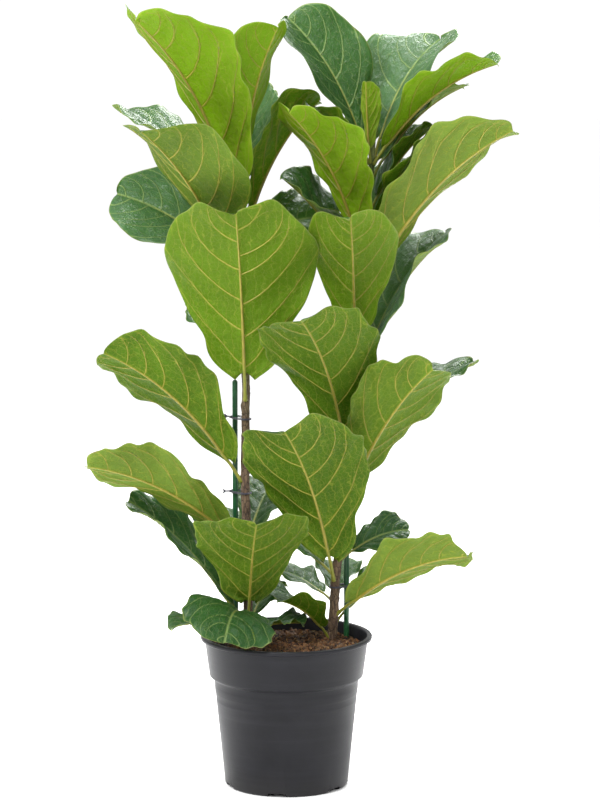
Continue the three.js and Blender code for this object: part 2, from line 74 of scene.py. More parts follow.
# name, stem, height of the joint, azimuth, pitch at the joint, droop along the leaf,
# roll about the midrib, blade length, blade width, fold at the midrib, extra curl to
# the margin, extra bend of the tip, turn to the side, height of the margin's waves
LEAVES = [
    # left stem, from the soil upwards
    ("am", "left", 254, 260, 42, 88, 20, 172, 150, 10, -15, 0, 0, 6),
    ("an", "left", 245, 205, 25, 40, 0, 105, 90, 10, 0, 0, 0, 5),
    ("ad", "left", 262, 186, 60, 28, 28, 235, 92, 15, 10, 0, 0, 7),
    ("ae", "left", 310, 105, 52, 35, 0, 190, 120, 10, 0, 0, 60, 6),
    ("af", "left", 272, 277, 68, 30, 0, 180, 195, 10, 10, 0, 0, 6),
    ("ao", "left", 255, 70, 40, 35, 0, 90, 80, 15, 0, 0, 0, 5),
    ("ap", "left", 252, 350, 15, 20, 0, 66, 90, 10, 0, 0, 0, 5),
    ("ag", "left", 395, 72, 45, 35, 0, 125, 110, 10, 0, 0, 0, 5),
    ("ac", "left", 385, 204, 44, 34, -40, 265, 128, 12, 10, 0, 0, 8),
    ("z", "left", 495, 202, 58, 34, -38, 275, 160, 10, 10, 0, 0, 8),
    ("aa", "left", 655, 100, 45, 45, 0, 180, 160, 10, 0, 0, 0, 6),
    ("s", "left", 628, 265, 76, 22, 0, 290, 250, 8, 8, 0, 0, 8),
    ("d", "left", 800, 225, 66, 34, 0, 295, 215, 12, 10, 0, 0, 7),
    ("a", "left", 930, 222, 72, 38, 0, 320, 220, 15, 10, 0, 0, 7),
    ("e0", "left", 900, 150, 60, 50, 0, 250, 130, 15, 0, 0, 0, 6),
    ("e", "left", 830, 160, 42, 30, 45, 205, 150, 10, 0, 0, 0, 6),
    ("b", "left", 1000, 315, 82, 28, 0, 196, 140, 20, 10, 0, 0, 5),
    ("c", "left", 895, 25, 72, 34, 40, 206, 130, 15, 10, 0, 0, 6),
    ("ax", "left", 950, 80, 65, 30, 0, 170, 110, 20, 10, 0, 0, 5),
    ("u", "left", 858, 25, 40, 50, -45, 130, 110, 10, 0, 0, 0, 6),
    # right stem, from the soil upwards
    ("al", "right", 232, 212, 55, 45, 0, 98, 110, 15, 10, 0, 0, 5),
    ("ai2", "right", 290, 140, 30, 30, 0, 96, 80, 10, 0, 0, 0, 5),
    ("ai", "right", 335, 161, 45, 40, 0, 110, 80, 10, 0, 0, 0, 5),
    ("ar", "right", 290, 85, 35, 40, 0, 105, 80, 10, 0, 0, 0, 5),
    ("aj", "right", 270, 325, 40, 32, 35, 240, 122, 12, 10, 0, 0, 7),
    ("ak", "right", 255, 40, 42, 40, 0, 150, 110, 15, 0, 0, -30, 5),
    ("ah", "right", 360, 5, 40, 40, -35, 95, 78, 10, 0, 0, 0, 5),
    ("ab", "right", 330, 245, 68, 30, -14, 285, 205, 8, 8, 0, 0, 8),
    ("x", "right", 465, 315, 62, 26, 28, 250, 150, 10, 10, 0, 0, 8),
    ("y", "right", 540, 22, 48, 40, 0, 215, 120, 12, 0, 0, 0, 6),
    ("w", "right", 535, 248, 66, 36, -14, 270, 192, 8, 8, 0, 0, 8),
    ("v", "right", 645, 27, 72, 36, 0, 250, 170, 12, 10, 0, 0, 7),
    ("t", "right", 700, 266, 72, 34, 0, 235, 150, 10, 10, 0, 0, 8),
    ("n", "right", 790, 339, 64, 38, 24, 320, 160, 15, 10, 0, 0, 8),
    ("o", "right", 865, 222, 70, 34, 0, 232, 172, 10, 10, 0, 0, 7),
    ("p", "right", 815, 222, 62, 25, 20, 180, 150, 10, 10, 0, -34, 6),
    ("r", "right", 940, 193, 72, 34, 0, 150, 110, 15, 10, 0, 0, 6),
    ("f", "right", 1000, 160, 74, 34, 30, 228, 150, 15, 10, 0, 0, 6),
    ("g", "right", 1003, 245, 80, -6, 0, 100, 50, 35, 10, 0, 0, 2),
    ("h", "right", 1010, 44, 70, 45, 0, 205, 190, 12, 10, 0, 0, 6),
    ("i", "right", 1000, 338, 56, 42, 0, 225, 120, 20, 10, 0, 0, 6),
    ("j", "right", 980, 24, 58, 40, 0, 180, 120, 15, 10, 0, 0, 6),
    ("k", "right", 925, 7, 68, 34, 0, 135, 110, 15, 10, 0, 0, 5),
    ("l", "right", 880, 345, 64, 40, 0, 190, 130, 15, 10, 0, 0, 7),
    ("m", "right", 800, 40, 78, 36, 0, 190, 120, 15, 10, 0, 0, 6),
]


def stem_at(side, z):
    """Point and radius of a stem at a height, in millimetres."""
    points = np.array(STEMS[side], float)
    return [float(np.interp(z, points[:, 2], points[:, k])) for k in (0, 1, 2, 3)]


# ---- meshes -----------------------------------------------------------------

def new_object(name, points, faces, materials, slots=None, smooth=True):
    """A mesh object from points in metres; slots gives each face's material."""
    mesh = bpy.data.meshes.new(name)
    mesh.from_pydata([tuple(p) for p in np.asarray(points, float)], [], faces)
    for material in materials:
        mesh.materials.append(material)
    if slots is not None:
        mesh.polygons.foreach_set("material_index", np.asarray(slots, np.int32))
    if smooth:
        mesh.shade_smooth()
    mesh.update()
    piece = bpy.data.objects.new(name, mesh)
    bpy.context.scene.collection.objects.link(piece)
    return piece


def add_values(piece, name, values):
    """A number on each point, which the materials read by name."""
    attribute = piece.data.attributes.new(name, "FLOAT", "POINT")
    attribute.data.foreach_set("value", np.asarray(values, np.float32))


def grid_faces(rows, columns, first=0, wrap=False, flip=False):
    """Quads of a grid of points, wrapped round its columns if asked."""
    faces = []
    for r in range(rows - 1):
        for c in range(columns if wrap else columns - 1):
            a = first + r * columns + c
            b = first + r * columns + (c + 1) % columns
            quad = (a, b, b + columns, a + columns)
            faces.append(quad[::-1] if flip else quad)
    return faces


def capped_faces(rows, sides):
    """Faces of a stack of rings, closed by the two end points that follow the rings."""
    faces = grid_faces(rows, sides, wrap=True)
    ends = rows * sides
    last = ends - sides
    for j in range(sides):
        after = (j + 1) % sides
        faces.append((ends, after, j))
        faces.append((ends + 1, last + j, last + after))
    return faces


def sheet_faces(rows, columns, flip=False):
    """Faces of a closed sheet: a grid of points, and then the same grid on its other side."""
    count = rows * columns
    faces = grid_faces(rows, columns, flip=flip)
    faces += grid_faces(rows, columns, first=count, flip=not flip)
    edge = [r * columns for r in range(rows)]
    edge += [(rows - 1) * columns + c for c in range(1, columns)]
    edge += [r * columns + columns - 1 for r in range(rows - 2, -1, -1)]
    edge += list(range(columns - 2, 0, -1))
    for a, b in zip(edge, edge[1:] + edge[:1]):
        faces.append((b, a, a + count, b + count) if flip else (a, b, b + count, a + count))
    return faces


class Builder:
    """Collects points, faces, material numbers and point values of one piece."""

    def __init__(self, value_names=()):
        self.points = []
        self.faces = []
        self.slots = []
        self.values = {name: [] for name in value_names}
        self.count = 0

    def add(self, points, faces, slot=0, **values):
        points = np.asarray(points, float).reshape(-1, 3)
        self.points.append(points)
        self.faces += [tuple(self.count + k for k in face) for face in faces]
        self.slots += [slot] * len(faces)
        for name, store in self.values.items():
            store.append(np.broadcast_to(np.asarray(values.get(name, 0.0), float), len(points)))
        self.count += len(points)

    def tube(self, path, radii, sides, slot=0, **values):
        """A closed round tube along a path of points."""
        path = np.asarray(path, float)
        radii = np.broadcast_to(np.asarray(radii, float), len(path))
        tangent = np.gradient(path, axis=0)
        tangent /= np.linalg.norm(tangent, axis=1)[:, None] + 1e-12
        # any direction well off the path's own
        aside = (0.0, 0.0, 1.0) if abs(tangent[0][2]) < 0.9 else (1.0, 0.0, 0.0)
        normal = np.cross(tangent[0], aside)
        normal /= np.linalg.norm(normal)
        rings = []
        angles = np.arange(sides) * 2 * math.pi / sides
        for point, direction, radius in zip(path, tangent, radii):
            normal = normal - direction * np.dot(normal, direction)
            normal /= np.linalg.norm(normal) + 1e-12
            other = np.cross(direction, normal)
            turned = np.cos(angles)[:, None] * normal + np.sin(angles)[:, None] * other
            rings.append(point + radius * turned)
        points = np.concatenate(rings + [path[:1], path[-1:]])
        spread = {}
        for name, value in values.items():
            value = np.asarray(value, float)
            if value.ndim == 1 and len(value) == len(path):
                value = np.concatenate([np.repeat(value, sides), value[:1], value[-1:]])
            spread[name] = value
        self.add(points, capped_faces(len(path), sides), slot, **spread)

    def build(self, name, materials, smooth=True):
        points = np.concatenate(self.points)
        piece = new_object(name, points, self.faces, materials, self.slots, smooth)
        for value_name, store in self.values.items():
            add_values(piece, value_name, np.concatenate(store))
        return piece


# ---- material helpers ---------------------------------------------------------

class Nodes:
    """A short way to write a material's node tree."""

    def __init__(self, name):
        self.material = bpy.data.materials.new(name)
        self.material.use_nodes = True
        self.tree = self.material.node_tree
        self.tree.nodes.clear()
        self.output = self.tree.nodes.new("ShaderNodeOutputMaterial")

    def link(self, source, target):
        self.tree.links.new(source, target)

    def node(self, kind, **settings):
        made = self.tree.nodes.new(kind)
        for name, value in settings.items():
            setattr(made, name, value)
        return made

    def fill(self, socket, value):
        if isinstance(value, bpy.types.NodeSocket):
            self.link(value, socket)
        else:
            socket.default_value = value

    def value(self, name):
        return self.node("ShaderNodeAttribute", attribute_name=name).outputs["Fac"]

    def place(self):
        return self.node("ShaderNodeTexCoord").outputs["Object"]

    def map(self, name):
        return self.node("ShaderNodeUVMap", uv_map=name).outputs["UV"]

    def math(self, operation, a, b=0.0):
        made = self.node("ShaderNodeMath", operation=operation)
        self.fill(made.inputs[0], a)
        self.fill(made.inputs[1], b)
        return made.outputs[0]

    def times(self, a, b):
        return self.math("MULTIPLY", a, b)

    def plus(self, a, b):
        return self.math("ADD", a, b)

    def most(self, a, b):
        return self.math("MAXIMUM", a, b)

    def split(self, vector):
        made = self.node("ShaderNodeSeparateXYZ")
        self.link(vector, made.inputs[0])
        return made.outputs

    def ramp(self, value, low, high, out_low=0.0, out_high=1.0, smooth=True):
        made = self.node("ShaderNodeMapRange")
        made.interpolation_type = "SMOOTHSTEP" if smooth else "LINEAR"
        for name, entry in (("Value", value), ("From Min", low), ("From Max", high),
                            ("To Min", out_low), ("To Max", out_high)):
            self.fill(made.inputs[name], entry)
        return made.outputs["Result"]

    def noise(self, vector, scale, detail=3.0, rough=0.5):
        made = self.node("ShaderNodeTexNoise")
        self.link(vector, made.inputs["Vector"])
        made.inputs["Scale"].default_value = scale
        made.inputs["Detail"].default_value = detail
        made.inputs["Roughness"].default_value = rough
        return made.outputs["Fac"]

    def cells(self, vector, scale, feature="F1"):
        made = self.node("ShaderNodeTexVoronoi", feature=feature)
        self.link(vector, made.inputs["Vector"])
        made.inputs["Scale"].default_value = scale
        return made

    def scaled(self, vector, factors):
        made = self.node("ShaderNodeVectorMath", operation="MULTIPLY")
        self.link(vector, made.inputs[0])
        made.inputs[1].default_value = factors
        return made.outputs[0]

    def mix(self, share, a, b):
        """Color a, going over to b by the share."""
        made = self.node("ShaderNodeMix", data_type="RGBA")
        self.fill(made.inputs["Factor"], share)
        for socket, value in ((made.inputs[6], a), (made.inputs[7], b)):
            self.fill(socket, (*value, 1.0) if isinstance(value, tuple) else value)
        return made.outputs[2]

    def bump(self, height, distance, strength=1.0, after=None):
        made = self.node("ShaderNodeBump")
        self.fill(made.inputs["Height"], height)
        made.inputs["Distance"].default_value = distance
        made.inputs["Strength"].default_value = strength
        if after is not None:
            self.link(after, made.inputs["Normal"])
        return made.outputs["Normal"]

    def shader(self, color, roughness, normal=None, **fixed):
        made = self.node("ShaderNodeBsdfPrincipled")
        self.link(color, made.inputs["Base Color"])
        self.fill(made.inputs["Roughness"], roughness)
        if normal is not None:
            self.link(normal, made.inputs["Normal"])
        for name, value in fixed.items():
            made.inputs[name.replace("_", " ")].default_value = value
        return made.outputs[0]

    def finish(self, surface):
        self.link(surface, self.output.inputs["Surface"])
        return self.material


# ---- materials --------------------------------------------------------------

def blade_material():
    """Leaf blade.  Values on the points: side is 1 on the upper face, rank counts the side
    veins, rung counts the cross veins between them, mid and rim are the distances in
    millimetres to the midrib and to the margin, tone is the leaf's age with painted backlight."""
    n = Nodes("leaf_blade")
    side = n.value("side")
    tone = n.value("tone")
    rank = n.value("rank")
    mid = n.value("mid")
    rim = n.value("rim")
    flat = n.map("Blade")
    wobble = n.noise(flat, 55.0, 2.0)
    wobble_small = n.times(n.math("SUBTRACT", wobble, 0.5), 0.16)
    rank_bent = n.plus(rank, wobble_small)

    # distance to the nearest side vein, as a part of the space between two
    near_side = n.math("ABSOLUTE", n.math("SUBTRACT", n.math("FRACT", rank_bent), 0.5))
    side_line = n.ramp(near_side, 0.445, 0.485)
    side_glow = n.ramp(near_side, 0.30, 0.5)
    rung_bent = n.plus(n.value("rung"), n.times(n.noise(flat, 70.0, 2.0), 1.6))
    rung_shift = n.times(n.math("FLOOR", rank_bent), 0.37)
    rung_place = n.math("FRACT", n.plus(rung_bent, rung_shift))
    near_rung = n.math("ABSOLUTE", n.math("SUBTRACT", rung_place, 0.5))
    rung_line = n.ramp(near_rung, 0.43, 0.485)
    bent = n.node("ShaderNodeVectorMath", operation="ADD")
    n.link(flat, bent.inputs[0])
    drift = n.node("ShaderNodeTexNoise")
    n.link(flat, drift.inputs["Vector"])
    drift.inputs["Scale"].default_value = 60.0
    drift_small = n.node("ShaderNodeVectorMath", operation="SCALE")
    n.link(drift.outputs["Color"], drift_small.inputs[0])
    drift_small.inputs["Scale"].default_value = 0.006
    n.link(drift_small.outputs[0], bent.inputs[1])
    coarse = n.cells(bent.outputs[0], 140.0, "DISTANCE_TO_EDGE").outputs["Distance"]
    fine = n.cells(bent.outputs[0], 420.0, "DISTANCE_TO_EDGE").outputs["Distance"]
    coarse_line = n.ramp(coarse, 0.09, 0.0)
    fine_line = n.ramp(fine, 0.12, 0.0)
    mid_line = n.ramp(mid, 2.8, 1.0)
    veins = n.most(side_line, n.times(rung_line, 0.85))
    veins = n.most(veins, n.times(coarse_line, 0.48))
    veins = n.most(veins, mid_line)

    # upper face
    patch = n.noise(flat, 14.0, 4.0, 0.6)
    mottle = n.noise(flat, 160.0, 3.0)
    top = n.mix(n.ramp(patch, 0.3, 0.7), (0.009, 0.048, 0.013), (0.024, 0.088, 0.018))
    top = n.mix(n.ramp(mottle, 0.35, 0.75, 0.0, 0.35), top, (0.040, 0.115, 0.030))
    top = n.mix(n.times(side_glow, 0.20), top, (0.045, 0.130, 0.036))
    # painted backlight, partly young colour: a high tone lightens the upper face
    top = n.mix(n.times(tone, 0.25), top, (0.060, 0.160, 0.016))
    top = n.mix(n.times(n.value("pale"), 0.45), top, (0.090, 0.190, 0.085))
    top_veins = n.most(side_line, n.times(rung_line, 0.38))
    top_veins = n.most(top_veins, n.times(coarse_line, 0.14))
    top_veins = n.most(top_veins, mid_line)
    top = n.mix(n.times(top_veins, 0.85), top, (0.220, 0.320, 0.095))
    # lower face
    under = n.mix(n.ramp(patch, 0.3, 0.7), (0.050, 0.120, 0.002), (0.088, 0.186, 0.003))
    under = n.mix(n.ramp(mottle, 0.35, 0.75, 0.0, 0.30), under, (0.130, 0.235, 0.012))
    under = n.mix(n.times(side_glow, 0.22), under, (0.125, 0.230, 0.005))
    # painted backlight, partly young colour: a high tone turns the lower face bright yellow-green
    under = n.mix(n.times(tone, 0.70), under, (0.190, 0.340, 0.001))
    under = n.mix(n.times(n.value("pale"), 0.60), under, (0.270, 0.370, 0.060))
    under = n.mix(n.times(veins, 0.62), under, (0.370, 0.420, 0.045))
    color = n.mix(side, under, top)
    # the thin pale, slightly dry margin
    margin = n.ramp(rim, 1.6, 0.3)
    dry = n.ramp(n.noise(flat, 35.0, 3.0), 0.60, 0.72)
    color = n.mix(n.times(margin, 0.6), color, (0.340, 0.380, 0.100))
    edge_dry = n.times(n.ramp(rim, 5.0, 0.2), n.times(dry, 0.55))
    color = n.mix(edge_dry, color, (0.210, 0.130, 0.045))

    rough_top = n.ramp(mottle, 0.2, 0.8, 0.27, 0.38)
    rough_under = n.ramp(mottle, 0.2, 0.8, 0.50, 0.66)
    rough = n.node("ShaderNodeMix", data_type="FLOAT")
    n.link(side, rough.inputs["Factor"])
    n.link(rough_under, rough.inputs[2])
    n.link(rough_top, rough.inputs[3])

    height = n.plus(n.times(rung_line, 0.5), n.times(coarse_line, 0.35))
    height = n.plus(height, n.times(fine_line, 0.15))
    height = n.plus(height, side_line)
    # small pillows between the finest raised veins
    pillow = n.cells(bent.outputs[0], 85.0).outputs["Distance"]
    height = n.plus(height, n.times(pillow, 1.4))
    # the relief dies out towards the margin and the tip
    height = n.times(height, n.ramp(rim, 0.5, 14.0, 0.08, 1.0))
    # veins are sunk on the upper face and stand out on the lower one
    sign = n.ramp(side, 0.0, 1.0, 1.0, -1.0, smooth=False)
    relief = n.bump(n.times(height, sign), 0.0012, 0.9)
    skin = n.bump(n.noise(flat, 600.0, 2.0), 0.00015, 0.5, after=relief)
    surface = n.shader(color, rough.outputs[0], skin, Specular_IOR_Level=0.30)
    through = n.node("ShaderNodeBsdfTranslucent")
    glow = n.mix(n.times(tone, 0.9), (0.120, 0.250, 0.001), (0.420, 0.620, 0.000))
    glow = n.mix(n.times(veins, 0.5), glow, (0.300, 0.330, 0.014))
    n.link(glow, through.inputs["Color"])
    n.link(skin, through.inputs["Normal"])
    both = n.node("ShaderNodeMixShader")
    both.inputs[0].default_value = 0.36
    n.link(surface, both.inputs[1])
    n.link(through.outputs[0], both.inputs[2])
    return n.finish(both.outputs[0])


def rib_material():
    """Leaf stalks, midribs and the raised side veins: yellow-green with fine streaks."""
    n = Nodes("leaf_rib")
    tone = n.value("tone")
    age = n.value("side")
    flat = n.place()
    streak = n.noise(n.scaled(flat, (260.0, 260.0, 60.0)), 1.0, 3.0)
    color = n.mix(n.ramp(streak, 0.3, 0.7), (0.250, 0.235, 0.018), (0.400, 0.360, 0.045))
    color = n.mix(n.times(tone, 0.30), color, (0.200, 0.180, 0.012))
    color = n.mix(age, color, (0.140, 0.180, 0.024))
    color = n.mix(n.times(n.value("pale"), 0.55), color, (0.170, 0.120, 0.016))
    speck = n.ramp(n.noise(flat, 900.0, 2.0), 0.62, 0.70)
    color = n.mix(n.times(speck, 0.35), color, (0.180, 0.110, 0.040))
    normal = n.bump(streak, 0.0004, 0.6)
    return n.finish(n.shader(color, n.ramp(streak, 0.2, 0.8, 0.38, 0.55), normal))


def bark_material():
    """Stem: rough brown bark below, green shoots above, with pale pores and dark cracks."""
    n = Nodes("bark")
    place = n.place()
    height = n.split(place)[2]
    up = n.plus(height, n.times(n.noise(place, 30.0, 3.0), 0.18))
    green = n.ramp(up, 0.62, 1.02)
    long_grain = n.noise(n.scaled(place, (320.0, 320.0, 42.0)), 1.0, 5.0, 0.62)
    flake = n.cells(n.scaled(place, (190.0, 190.0, 75.0)), 1.0, "DISTANCE_TO_EDGE").outputs["Distance"]
    crack = n.ramp(flake, 0.10, 0.0)
    bark = n.mix(n.ramp(long_grain, 0.3, 0.7), (0.072, 0.040, 0.024), (0.225, 0.150, 0.088))
    bark = n.mix(n.times(crack, 0.75), bark, (0.022, 0.013, 0.009))
    shoot = n.mix(n.ramp(long_grain, 0.3, 0.7), (0.085, 0.120, 0.030), (0.190, 0.215, 0.065))
    color = n.mix(green, bark, shoot)
    pore = n.cells(n.scaled(place, (150.0, 150.0, 260.0)), 1.0, "F1").outputs["Distance"]
    spot = n.ramp(pore, 0.20, 0.12)
    color = n.mix(n.times(spot, 0.45), color, (0.330, 0.250, 0.165))
    color = n.mix(n.times(n.value("scar"), 0.7), color, (0.050, 0.028, 0.018))
    relief = n.math("SUBTRACT", long_grain, n.times(crack, 0.8))
    normal = n.bump(relief, 0.0012, 0.9)
    return n.finish(n.shader(color, n.ramp(long_grain, 0.2, 0.8, 0.66, 0.92), normal))


def sheath_material():
    """Papery leaf sheaths and buds: green when young, brown and streaked when dry."""
    n = Nodes("bud_sheath")
    place = n.place()
    dry = n.value("tone")
    streak = n.noise(n.scaled(place, (420.0, 420.0, 50.0)), 1.0, 4.0, 0.6)
    green = n.mix(n.ramp(streak, 0.3, 0.7), (0.160, 0.260, 0.050), (0.290, 0.360, 0.090))
    brown = n.mix(n.ramp(streak, 0.3, 0.7), (0.060, 0.026, 0.013), (0.230, 0.120, 0.055))
    color = n.mix(dry, green, brown)
    normal = n.bump(streak, 0.0006, 0.8)
    return n.finish(n.shader(color, n.ramp(streak, 0.2, 0.8, 0.42, 0.70), normal))


def pot_material():
    """Moulded dark grey plastic: fine grain, faint flow marks, dust and light scuffs."""
    n = Nodes("pot_plastic")
    place = n.place()
    grain = n.noise(place, 1500.0, 2.0)
    cloud = n.noise(place, 9.0, 4.0, 0.6)
    ring = n.noise(n.scaled(place, (1.0, 1.0, 26.0)), 5.0, 3.0)
    scuff = n.noise(n.scaled(place, (6.0, 6.0, 120.0)), 5.0, 5.0, 0.7)
    color = n.mix(n.ramp(cloud, 0.3, 0.7), (0.0075, 0.0075, 0.0095), (0.012, 0.012, 0.015))
    color = n.mix(n.ramp(ring, 0.45, 0.75, 0.0, 0.30), color, (0.019, 0.019, 0.023))
    color = n.mix(n.ramp(scuff, 0.66, 0.80, 0.0, 0.30), color, (0.055, 0.053, 0.050))
    height = n.split(place)[2]
    low = n.ramp(n.plus(height, n.times(cloud, 0.05)), 0.075, 0.02)
    color = n.mix(n.times(low, 0.12), color, (0.085, 0.080, 0.074))
    rough = n.plus(n.ramp(cloud, 0.2, 0.8, 0.32, 0.44), n.times(grain, 0.06))
    normal = n.bump(grain, 0.00012, 0.5)
    normal = n.bump(ring, 0.0006, 0.35, after=normal)
    return n.finish(n.shader(color, rough, normal, Specular_IOR_Level=0.19))


def soil_material():
    """Moist peat and coir: dark brown crumbs with orange, straw and near-black flecks."""
    n = Nodes("potting_soil")
    place = n.place()
    lump = n.noise(place, 60.0, 5.0, 0.65)
    crumb = n.cells(place, 380.0)
    color = n.mix(n.ramp(lump, 0.3, 0.7), (0.007, 0.003, 0.002), (0.050, 0.021, 0.009))
    hue = n.split(crumb.outputs["Color"])
    color = n.mix(n.ramp(hue[0], 0.70, 0.95, 0.0, 0.8), color, (0.190, 0.070, 0.018))
    color = n.mix(n.ramp(hue[1], 0.88, 0.98, 0.0, 0.8), color, (0.340, 0.200, 0.075))
    color = n.mix(n.times(n.value("tone"), 0.75), color, (0.210, 0.100, 0.036))
    normal = n.bump(n.noise(place, 700.0, 4.0, 0.7), 0.0015, 1.0)
    return n.finish(n.shader(color, n.ramp(lump, 0.2, 0.8, 0.75, 0.98), normal))


def cane_material():
    """Green plastic coating, glossy, with small dimples and pale rubbed marks."""
    n = Nodes("cane_plastic")
    place = n.place()
    cloud = n.noise(place, 40.0, 4.0, 0.6)
    rub = n.noise(n.scaled(place, (260.0, 260.0, 24.0)), 1.0, 4.0, 0.7)
    color = n.mix(n.ramp(cloud, 0.3, 0.7), (0.008, 0.062, 0.020), (0.016, 0.098, 0.032))
    color = n.mix(n.ramp(rub, 0.62, 0.78, 0.0, 0.4), color, (0.110, 0.200, 0.120))
    dimple = n.cells(n.scaled(place, (150.0, 150.0, 110.0)), 1.0).outputs["Distance"]
    normal = n.bump(n.ramp(dimple, 0.35, 0.12), 0.0006, 0.6)
    return n.finish(n.shader(color, n.ramp(rub, 0.3, 0.8, 0.24, 0.48), normal))


def tie_material():
    """Dark grey-violet plastic-coated wire."""
    n = Nodes("tie_wire")
    place = n.place()
    cloud = n.noise(place, 240.0, 3.0)
    color = n.mix(n.ramp(cloud, 0.3, 0.7), (0.030, 0.027, 0.040), (0.075, 0.070, 0.090))
    normal = n.bump(n.noise(place, 1800.0, 2.0), 0.0002, 0.5)
    return n.finish(n.shader(color, n.ramp(cloud, 0.2, 0.8, 0.40, 0.60), normal))


def floor_material():
    """Plain pale studio floor."""
    n = Nodes("studio_floor")
    color = n.mix(n.noise(n.place(), 2.0, 2.0), (0.93, 0.93, 0.93), (0.95, 0.95, 0.95))
    return n.finish(n.shader(color, 0.9))


BLADE = blade_material()
RIB = rib_material()
BARK = bark_material()
SHEATH = sheath_material()
POT = pot_material()
SOIL = soil_material()
CANE = cane_material()
TIE = tie_material()


def place_piece(piece, slot, *nodes):
    """The piece stands for these CAD nodes and rides on the plant's one body."""
    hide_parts(*nodes)
    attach(piece, "root")


# ---- leaves ------------------------------------------------------------------
PATH_STEPS = 60          # steps along the midrib
SIDE_VEINS = [0.035, 0.21, 0.40, 0.58, 0.74, 0.87]    # where they leave the midrib
VEIN_RISE = [0.28, 0.33, 0.34, 0.27, 0.17, 0.08]      # how far each climbs to the margin
# Share of yellow-green in young leaves together with painted backlight, and of paleness in dull-backed
# ones.
YOUNG_AND_BACKLIT = {"a": 1.0, "b": 0.9, "o": 1.0, "i": 0.9, "g": 0.9, "c": 0.4, "t": 0.6, "s": 0.5, "j": 0.6}
PALE = {"n": 0.9, "aj": 0.9, "ac": 0.7, "d": 0.25, "h": 0.8, "v": 0.5, "e": 0.6, "x": 0.3}
# How deep the tip is notched between its two lobes, as a part of the blade's length;
# below zero the tip is rounder.
NOTCH = {"s": 0.060, "t": 0.0, "w": 0.045, "ab": 0.050, "af": 0.080, "x": 0.030, "am": 0.030,
         "m": 0.030, "ac": -0.035, "aj": -0.035, "z": -0.010, "d": -0.010, "n": -0.015}
# Leaves with a close neighbour or cane keep less relief and a smoother margin.
CALM_SHARE = 0.2
CALM = {name: CALM_SHARE for name in ("b", "d", "e", "f", "h", "s", "t", "ae", "ak", "ai2", "ar", "al")}
# Share of its width that a leaf's base lacks beside a neighbour's stalk or a cane.
SLIM = {"d": 0.55, "e": 0.30, "f": 0.45, "h": 0.45, "ae": 0.65, "ak": 0.60}
BLADE_MM = 0.75          # thickness of the blade
RUNG_MM = 14.0           # spacing of the cross veins


def smooth_step(x):
    x = np.clip(x, 0.0, 1.0)
    return x * x * (3 - 2 * x)


def rise_shape(t):
    return 0.28 * t + 0.72 * t * t


